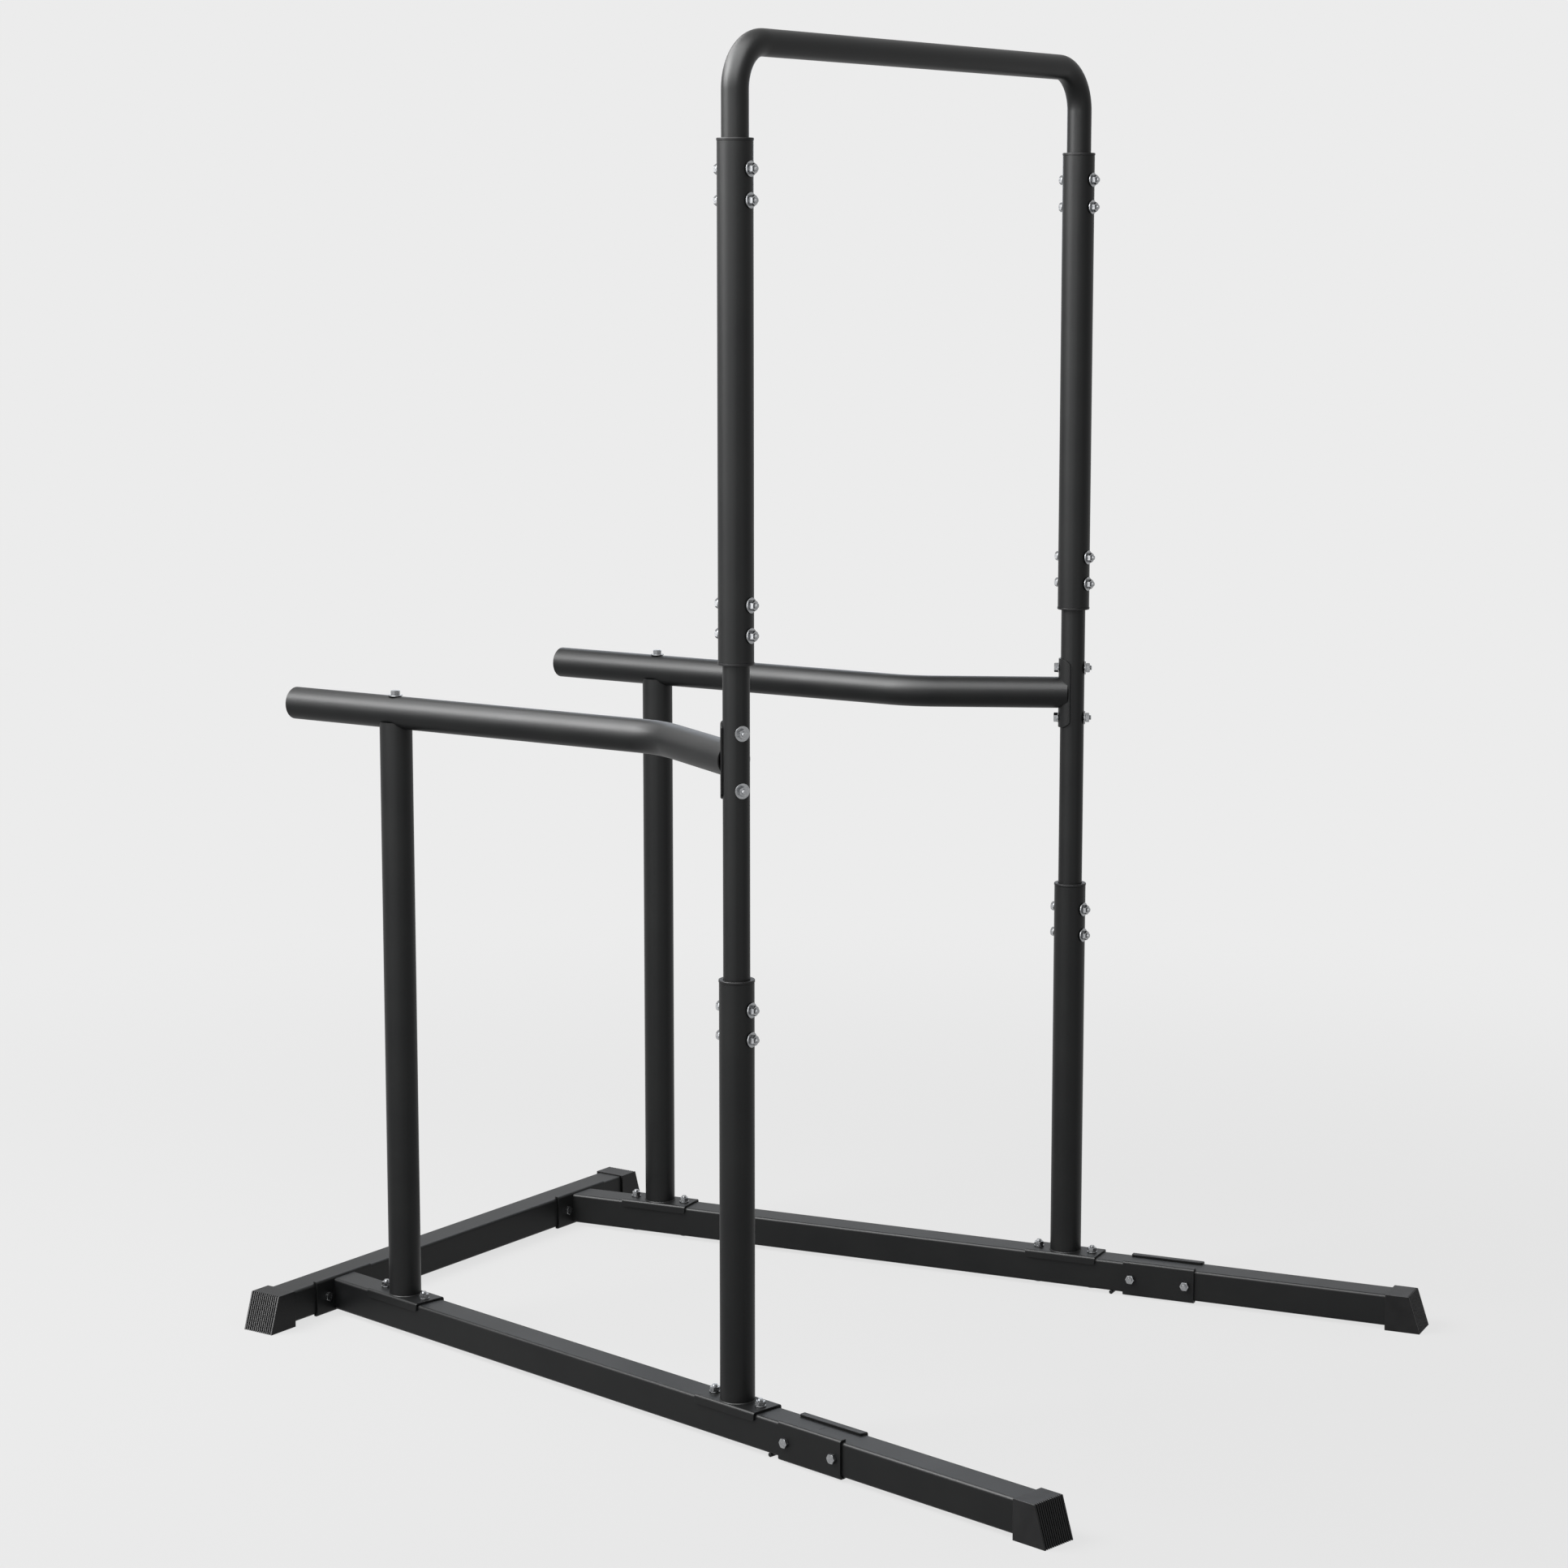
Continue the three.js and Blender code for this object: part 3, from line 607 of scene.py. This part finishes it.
def bracket():
    """Plate curved round the middle upright, its middle towards +Y, centred on z = 0."""
    low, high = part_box("dip_bar_right")
    half_height = (high.z - low.z) / 2
    half_width = bracket_radius * math.sin(BRACKET_WRAP)
    bm = rounded([
        (-half_width, -half_height, BRACKET_CORNER), (half_width, -half_height, BRACKET_CORNER),
        (half_width, half_height, BRACKET_CORNER), (-half_width, half_height, BRACKET_CORNER),
    ])
    for i in range(1, BEND_STEPS):
        x = bracket_radius * math.sin(BRACKET_WRAP * (2 * i / BEND_STEPS - 1))
        everything = bm.verts[:] + bm.edges[:] + bm.faces[:]
        bmesh.ops.bisect_plane(bm, geom=everything, plane_co=(x, 0, 0), plane_no=RIGHT)
    bmesh.ops.remove_doubles(bm, verts=bm.verts[:], dist=PLATE_EDGE)
    for vert in bm.verts:
        vert.co = Vector((vert.co.x, math.sqrt(bracket_radius ** 2 - vert.co.x ** 2), vert.co.y))
    bmesh.ops.reverse_faces(bm, faces=bm.faces[:])
    bm.normal_update()
    bmesh.ops.solidify(bm, geom=bm.faces[:], thickness=PLATE)
    return outward(softened(bm, sharp_edge, PLATE_EDGE))


def dip_bar(hand, side):
    """Bent grip tube, coped and welded to the bracket that holds it to the middle upright."""
    node = f"dip_bar_{hand}"
    grip_x = post_axis.x - upright_axis.x
    bend_y = -grip_x / math.tan(DIP_ANGLE)
    cut_back = DIP_BEND * math.tan(DIP_ANGLE / 2)
    end_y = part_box("dip_bar_right")[1].y - upright_axis.y
    slanted = -grip_x / math.sin(DIP_ANGLE)
    grip = round_loop(main_radius)
    rim = swept(grip, [(end_y - bend_y - cut_back, DIP_BEND, DIP_ANGLE), (slanted - cut_back, 0, 0)])
    # Drawn along +Z and bent to +X, the tube is laid along -Y, so that it turns towards the upright.
    moved(grip, Matrix.Translation((grip_x, end_y, 0)) @ Matrix.Rotation(QUARTER, 4, "X"))
    heading = Vector((math.sin(DIP_ANGLE), -math.cos(DIP_ANGLE), 0))
    sideways = Vector((heading.y, -heading.x, 0))
    cope = bracket_radius - FILLET_SINK
    for vert in rim:
        short = math.sqrt(max(cope ** 2 - vert.co.dot(sideways) ** 2, COPE_STOP ** 2))
        vert.co -= heading * (short + vert.co.dot(heading))
    plate = moved(bracket(), Matrix.Rotation(DIP_ANGLE, 4, "Z"))
    place = column(side) @ Matrix.Translation((0, 0, dip_height))
    whole = joined(walled(grip, MAIN_WALL), plate)
    shell(f"welded_{node}", whole, place, "powder_coat", node, mirrored=side < 0)

    plug = main_radius - MAIN_WALL - CLEARANCE
    cap = lathed([
        (0, -CAP_SKIRT, 0), (plug, -CAP_SKIRT, CAP_EDGE), (plug, 0, 0),
        (main_radius, 0, PLATE_EDGE), (main_radius, CAP_DOME, CAP_EDGE), (0, CAP_DOME, 0),
    ], steps=ROUND)
    moved(cap, Matrix.Translation((grip_x, end_y, 0)) @ Matrix.Rotation(-QUARTER, 4, "X"))
    shell(f"moulded_end_cap_{hand}", cap, place, "bush_plastic", mirrored=side < 0)


def rail_tube(length):
    """Square tube along +Z from z = 0."""
    bm = square_loop(rail_size, RAIL_CORNER)
    swept(bm, [(length, 0, 0)])
    return walled(bm, RAIL_WALL)


def side_rail(hand, side):
    """Splayed rail with its mitred rear end, the joint plate across it and the rest rod below it."""
    front = span("front_leg_right", base(1))[1].y + CLEARANCE
    rail = rail_tube(axis_reach - front)
    for vert in rail.verts:
        if vert.co.z > rail_size:
            vert.co.z += FILLET_SINK - math.tan(splay) * vert.co.x
    moved(rail, Matrix.Translation((0, front, rail_middle)) @ Matrix.Rotation(-QUARTER, 4, "X"))

    lowest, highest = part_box("side_rail_right")
    joint = channel(fold_width, highest.y - web_front, 2 * (joint_x - lowest.x))
    square = Matrix.Translation((joint_x, web_front, rail_middle)) @ facing(UP, (0, -1, 0))
    moved(joint, base(1).inverted() @ square)

    radius = (rail_low.z + REST_ROD_SINK) / 2
    half = rail_size / 2 - REST_ROD_SHY
    rod = lathed([
        (0, -half, 0), (radius, -half, REST_ROD_EDGE), (radius, half, REST_ROD_EDGE), (0, half, 0),
    ])
    rod_y = span("splice_plate_outer_right", base(1))[1].y + REST_ROD_GAP
    moved(rod, Matrix.Translation((0, rod_y, radius)) @ Matrix.Rotation(QUARTER, 4, "Y"))

    node = f"side_rail_{hand}"
    whole = joined(rail, joint, rod)
    shell(f"welded_{node}", whole, base(side), "powder_coat", node, mirrored=side < 0)


def front_leg(hand, side):
    node = f"front_leg_{hand}"
    low, high = span(node, base(side))
    lay = Matrix.Translation((0, high.y, rail_middle)) @ Matrix.Rotation(QUARTER, 4, "X")
    leg = moved(rail_tube(high.y - low.y), lay)
    shell(f"painted_{node}", leg, base(side), "powder_coat", node)


def rear_cross_bar():
    low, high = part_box("rear_cross_bar")
    seat = Matrix.Translation((low.x, (low.y + high.y) / 2, rail_middle))
    bm = moved(rail_tube(high.x - low.x), Matrix.Rotation(QUARTER, 4, "Y"))
    shell("painted_rear_cross_bar", bm, seat, "powder_coat", "rear_cross_bar")


def splice_plates(hand, side):
    for part, way in (("outer", side), ("inner", -side)):
        node = f"splice_plate_{part}_{hand}"
        low, high = span(node, base(side))
        bm = channel(fold_width, high.x - low.x, high.y - low.y)
        web_x = high.x if way > 0 else low.x
        seat = Matrix.Translation((web_x, (low.y + high.y) / 2, rail_middle))
        moved(bm, seat @ facing(UP, (way, 0, 0)))
        shell(f"folded_{node}", bm, base(side), "powder_coat", node)


def bush(hand, side, part):
    """Flanged ring that closes a sleeve: the flange lies outside it, the skirt inside."""
    node = f"{part}_bush_{hand}"
    low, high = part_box(node)
    height = high.z - low.z
    inner = slim_radius + CLEARANCE
    skirt = main_radius - MAIN_WALL - CLEARANCE
    under = height - BUSH_FLANGE + CLEARANCE
    outer = main_radius + BUSH_PROUD
    bm = lathed([
        (inner, 0, 0), (skirt, 0, PLATE_EDGE), (skirt, under, 0), (outer, under, PLATE_EDGE),
        (outer, height, BUSH_EDGE), (inner, height, PLATE_EDGE),
    ], steps=ROUND)
    if part == "middle":
        place = Matrix.Translation((0, 0, high.z)) @ Matrix.Rotation(math.pi, 4, "X")
    else:
        place = Matrix.Translation((0, 0, low.z))
    shell(f"moulded_{node}", bm, column(side) @ place, "bush_plastic", node)


def foot(node, turn):
    """Cap over a tube end at +Y, with a base below the tube and ribs down its slanted front."""
    low, high = span(node, turn)
    centre = (low.x + high.x) / 2
    width = high.x - low.x
    tube_end = high.y - FOOT_COVER
    toe_top = tube_end - CLEARANCE - FOOT_END
    depth = RIB_DEPTH / math.cos(math.atan2(toe_top - low.y, high.z))
    bm = prism(rounded([
        (low.y + depth, 0, 0), (high.y, 0, 0), (high.y, high.z, 0), (toe_top + depth, high.z, 0),
    ]), width)
    moved(bm, Matrix.Translation((low.x, 0, 0)) @ facing(BACK, UP))
    bm.normal_update()

    # Pocket for the tube: the corners of a face inset by any amount are moved to its mouth
    room = rail_size / 2 + CLEARANCE
    rear = next(face for face in bm.faces if face.normal.y > STRAIGHT_SHARE)
    bmesh.ops.inset_individual(bm, faces=[rear], thickness=FOOT_EDGE)
    for vert in rear.verts:
        vert.co.x = centre + math.copysign(room, vert.co.x - centre)
        vert.co.z = rail_middle + math.copysign(room, vert.co.z - rail_middle)
    pocket = bmesh.ops.extrude_face_region(bm, geom=[rear])
    bmesh.ops.translate(bm, verts=verts_of(pocket), vec=(0, -FOOT_COVER - CLEARANCE, 0))
    bmesh.ops.delete(bm, geom=[rear], context="FACES_ONLY")

    # Ribs: the slanted front is cut into strips, and those between the grooves are raised
    def slanted_front():
        return [
            face for face in bm.faces
            if face.normal.y < -SLANTED_SHARE and face.calc_center_median().y < toe_top
        ]

    pitch = width / RIBS
    grooves = [low.x + (i + 1) * pitch for i in range(RIBS - 1)]
    half = pitch * GROOVE_SHARE / 2
    for x in [groove + end * half for groove in grooves for end in (-1, 1)]:
        front = slanted_front()
        edges = list(dict.fromkeys(edge for face in front for edge in face.edges))
        verts = list(dict.fromkeys(vert for edge in edges for vert in edge.verts))
        bmesh.ops.bisect_plane(bm, geom=front + edges + verts, plane_co=(x, 0, 0), plane_no=RIGHT)
    ribs = [
        face for face in slanted_front()
        if min(abs(face.calc_center_median().x - groove) for groove in grooves) > half
    ]
    raised = bmesh.ops.extrude_face_region(bm, geom=ribs)
    bmesh.ops.translate(bm, verts=verts_of(raised), vec=(0, -depth, 0))
    bmesh.ops.delete(bm, geom=ribs, context="FACES_ONLY")
    piece = shell(f"ribbed_{node}", outward(bm), turn, "foot_rubber", node)
    rounding = piece.modifiers.new("moulded_edges", "BEVEL")
    rounding.width = FOOT_EDGE
    rounding.segments = EDGE_STEPS
    rounding.angle_limit = SHARP
    rounding.use_clamp_overlap = False
    piece.modifiers.move(len(piece.modifiers) - 1, 0)


def hexagon(height, low_cone=True, high_cone=True):
    """Hexagonal block from z = 0 up, whose turned ends leave arcs on its six faces."""
    bm = bmesh.new()
    bmesh.ops.create_circle(bm, cap_ends=True, segments=6, radius=ACROSS_FLATS / math.sqrt(3))
    bmesh.ops.subdivide_edges(bm, edges=bm.edges[:], cuts=FOLD_STEPS + 1)
    prism(bm, height)
    face_radius = HEX_FACE_SHARE * ACROSS_FLATS / 2
    for up, cone in ((-1, low_cone), (1, high_cone)):
        cap = next(face for face in bm.faces if face.normal.z * up > STRAIGHT_SHARE)
        rim = list(cap.verts)
        if cone:
            bmesh.ops.inset_individual(bm, faces=[cap], thickness=PLATE_EDGE)
            for vert in rim:
                vert.co.z -= up * (vert.co.xy.length - face_radius) * math.tan(HEX_CHAMFER)
            for vert in cap.verts:
                vert.co.xy *= face_radius / vert.co.xy.length
    return bm


def washer(diameter):
    hole = BOLT_RADIUS + CLEARANCE
    edge = diameter / 2
    return lathed([
        (hole, 0, 0), (edge, 0, WASHER_EDGE), (edge, WASHER, WASHER_EDGE), (hole, WASHER, 0),
    ])


def shank(start, end, threaded):
    """Bolt shank from one height to another, whose last stretch is threaded."""
    turns = math.floor(threaded / THREAD_PITCH)
    root = BOLT_RADIUS - THREAD_DEPTH
    corners = [(0, start, 0), (BOLT_RADIUS, start, 0)]
    for turn in range(turns):
        height = end - (turns - turn) * THREAD_PITCH
        corners += [(BOLT_RADIUS, height, 0), (root, height + THREAD_PITCH / 2, 0)]
    return lathed(corners + [(root, end, 0), (0, end, 0)])


def bolt_set(length, head=HEAD, head_washer=0, nut_washer=0, nut=NUT, stud=STUD):
    """Bolt along +Z, whose head bears at HEAD above z = 0, with washers and nut."""
    over = length - stud
    block = moved(hexagon(head, high_cone=False), Matrix.Translation((0, 0, HEAD - head)))
    parts = [block, shank(HEAD / 2, length, stud + nut)]
    if head_washer:
        parts.append(moved(washer(head_washer), Matrix.Translation((0, 0, HEAD))))
    if nut:
        parts.append(moved(hexagon(nut), Matrix.Translation((0, 0, over - nut))))
    if nut_washer:
        parts.append(moved(washer(nut_washer), Matrix.Translation((0, 0, over - nut - WASHER))))
    return joined(*parts)


def bolt(node, place, **kind):
    """Puts a bolt where the frame has it. The place's +Z runs from head to stud, through the axis."""
    low, high = span(node, place)
    bm = bolt_set(high.z - low.z, **kind)
    middle_x, middle_y = (low.x + high.x) / 2, (low.y + high.y) / 2
    shell(f"zinc_{node}", bm, place @ Matrix.Translation((middle_x, middle_y, low.z)), "zinc", node)


def bolts(hand, side):
    forwards = Matrix.Rotation(QUARTER, 4, "X")
    for i in (1, 2):
        for joint in ("upper", "middle", "lower"):
            node = f"{joint}_joint_bolt_{hand}_{i}"
            bolt(node, column(side) @ forwards, head_washer=SMALL_WASHER, nut_washer=WIDE_WASHER)
        turned = column(side) @ Matrix.Rotation(side * DIP_ANGLE, 4, "Z") @ forwards
        bolt(f"bracket_bolt_{hand}_{i}", turned, head_washer=SMALL_WASHER, nut_washer=WIDE_WASHER)
        inwards = base(side) @ Matrix.Rotation(-side * QUARTER, 4, "Y")
        bolt(f"splice_bolt_{hand}_{i}", inwards)
        for foundation in ("upright", "post"):
            bolt(f"{foundation}_saddle_bolt_{hand}_{i}", base(side), nut_washer=SMALL_WASHER)
    down = Matrix.Rotation(math.pi, 4, "X")
    bolt(f"dip_post_bolt_{hand}", down, head=DIP_HEAD, head_washer=WIDE_WASHER, nut=0)


def rear_joint_bolts(hand, side):
    """Bolts through the joint plate and the cross bar, with thin nuts behind."""
    start = web_front - CLEARANCE - HEAD
    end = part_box("rear_cross_bar")[1].y + CLEARANCE + THIN_NUT
    for i, way in enumerate((-1, 1)):
        seat = Matrix.Translation((side * joint_x + way * JOINT_BOLT_OFFSET, start, rail_middle))
        bm = bolt_set(end - start, nut=THIN_NUT, stud=0)
        lay = seat @ Matrix.Rotation(-QUARTER, 4, "X")
        shell(f"zinc_rear_joint_bolt_{hand}_{i + 1}", bm, lay, "zinc")


pull_up_bar()
rear_cross_bar()
for hand, side in HANDS.items():
    side_rail(hand, side)
    front_leg(hand, side)
    splice_plates(hand, side)
    lower_upright(hand, side)
    plain_uprights(hand, side)
    dip_post(hand, side)
    dip_bar(hand, side)
    for part in ("lower", "middle", "upper"):
        bush(hand, side, part)
    foot(f"front_foot_{hand}", base(side))
    foot(f"rear_foot_{hand}", Matrix.Rotation(side * QUARTER, 4, "Z"))
    bolts(hand, side)
    rear_joint_bolts(hand, side)


# Studio: a pale floor and background, one soft lamp, and panels that show only as reflections
BACKGROUND = "#ececec"
FLOOR = "#e2e2e2"
FLOOR_REACH = 20
# The floor glows with the background's colour by this share near the object and wholly far off
GLOW_SHARE = 0.85
GLOW_NEAR = 1.0
GLOW_FAR = 3.5
WORLD_LIGHT = 0.35
CAMERA_PLACE = (-4.41612, -2.97585, 1.67598)
CAMERA_AZIMUTH = math.radians(-55.42)
CAMERA_ELEVATION = math.radians(8.59)
SENSOR = 36
LENS = 81.21


def seen_rays(tree):
    """1 for the rays that show the background: camera, glossy and transmission rays."""
    path = add(tree, "ShaderNodeLightPath")
    total = path.outputs["Is Camera Ray"]
    for kind in ("Is Glossy Ray", "Is Transmission Ray"):
        either = add(tree, "ShaderNodeMath", {0: total, 1: path.outputs[kind]}, operation="MAXIMUM")
        total = either.outputs[0]
    return total


def studio_world():
    world = bpy.data.worlds.new("studio")
    world.use_nodes = True
    tree = world.node_tree
    tree.nodes.clear()
    light = add(tree, "ShaderNodeBackground", {"Color": (1, 1, 1, 1), "Strength": WORLD_LIGHT})
    shown = add(tree, "ShaderNodeBackground", {"Color": colour(BACKGROUND), "Strength": 1.0})
    mix = add(tree, "ShaderNodeMixShader", {
        0: seen_rays(tree), 1: light.outputs[0], 2: shown.outputs[0],
    })
    add(tree, "ShaderNodeOutputWorld", {"Surface": mix.outputs[0]})
    bpy.context.scene.world = world


def studio_floor():
    """Pale floor that keeps the shadow near the object and runs out into the background."""
    material = bpy.data.materials.new("painted_floor")
    material.use_nodes = True
    tree = material.node_tree
    tree.nodes.clear()
    lit = add(tree, "ShaderNodeBsdfDiffuse", {"Color": colour(FLOOR)})
    glow = add(tree, "ShaderNodeEmission", {"Color": colour(BACKGROUND)})
    where = add(tree, "ShaderNodeTexCoord")
    away = add(tree, "ShaderNodeVectorMath", {0: where.outputs["Object"]}, operation="LENGTH")
    fade = add(tree, "ShaderNodeMapRange", {
        "Value": away.outputs["Value"], "From Min": GLOW_NEAR, "From Max": GLOW_FAR,
        "To Min": GLOW_SHARE, "To Max": 1.0,
    }, interpolation_type="SMOOTHSTEP")
    share = add(tree, "ShaderNodeMath", {0: fade.outputs[0], 1: seen_rays(tree)}, operation="MULTIPLY")
    mix = add(tree, "ShaderNodeMixShader", {0: share.outputs[0], 1: lit.outputs[0], 2: glow.outputs[0]})
    add(tree, "ShaderNodeOutputMaterial", {"Surface": mix.outputs[0]})
    bm = bmesh.new()
    bmesh.ops.create_grid(bm, x_segments=1, y_segments=1, size=FLOOR_REACH)
    mesh = bpy.data.meshes.new("floor")
    bm.to_mesh(mesh)
    bm.free()
    mesh.materials.append(material)
    floor = bpy.data.objects.new("floor", mesh)
    bpy.context.scene.collection.objects.link(floor)


def panel(name, azimuth, elevation, distance, width, height, brightness,
          gloss_only=False, receivers=None, tint="#ffffff"):
    """Rectangular area lamp turned to the middle of the frame, equally bright all over.

    Angles are in degrees and lengths in metres. Receivers is a collection of the pieces it lights.
    """
    data = bpy.data.lights.new(name, "AREA")
    data.shape = "RECTANGLE"
    data.size = width
    data.size_y = height
    data.energy = brightness * math.pi * width * height
    data.color = colour(tint)[:3]
    light = bpy.data.objects.new(name, data)
    flat = math.cos(math.radians(elevation))
    towards = Vector((
        flat * math.cos(math.radians(azimuth)), flat * math.sin(math.radians(azimuth)),
        math.sin(math.radians(elevation)),
    ))
    light.location = (cad_low + cad_high) / 2 + towards * distance
    light.rotation_euler = towards.to_track_quat("Z", "Y").to_euler()
    light.visible_camera = False
    light.visible_diffuse = not gloss_only
    if receivers:
        light.light_linking.receiver_collection = receivers
    bpy.context.scene.collection.objects.link(light)


def camera():
    data = bpy.data.cameras.new("camera")
    data.sensor_width = SENSOR
    data.lens = LENS
    eye = bpy.data.objects.new("camera", data)
    eye.location = CAMERA_PLACE
    eye.rotation_euler = (QUARTER - CAMERA_ELEVATION, 0, CAMERA_AZIMUTH)
    bpy.context.scene.collection.objects.link(eye)
    bpy.context.scene.camera = eye


studio_world()
studio_floor()
panel("key", 130, 40, 3.2, 2.0, 2.0, 8)
panel("key_gloss", 137, 36, 4.2, 2.4, 2.0, 27, gloss_only=True, receivers=dark_parts)
panel("far_key_gloss", 98, 54, 2.5, 1.2, 1.2, 8, gloss_only=True, receivers=dark_parts)
panel("skirt_gloss", 143, 14, 4.2, 1.5, 1.5, 7, gloss_only=True, receivers=dark_parts)
panel("roof_gloss", 185, 58, 3.0, 3.8, 2.8, 16, gloss_only=True, receivers=dark_parts)
panel("rib_gloss", 134, -12, 2.9, 1.0, 0.6, 36, gloss_only=True, receivers=rubber_parts)
panel("left_gloss", 182, 16, 2.6, 3.0, 1.6, 2.0, gloss_only=True)
panel("low_gloss", 176, -4, 2.8, 3.4, 1.5, 1.5, gloss_only=True)
panel("front_gloss", 245, -3, 4.0, 3.0, 1.4, 1.2, gloss_only=True, receivers=dark_parts)
panel("far_gloss", 31, 19, 3.5, 2.6, 0.8, 2.65, gloss_only=True, tint="#e8f2ff")
camera()
bpy.context.scene.view_settings.view_transform = "Standard"
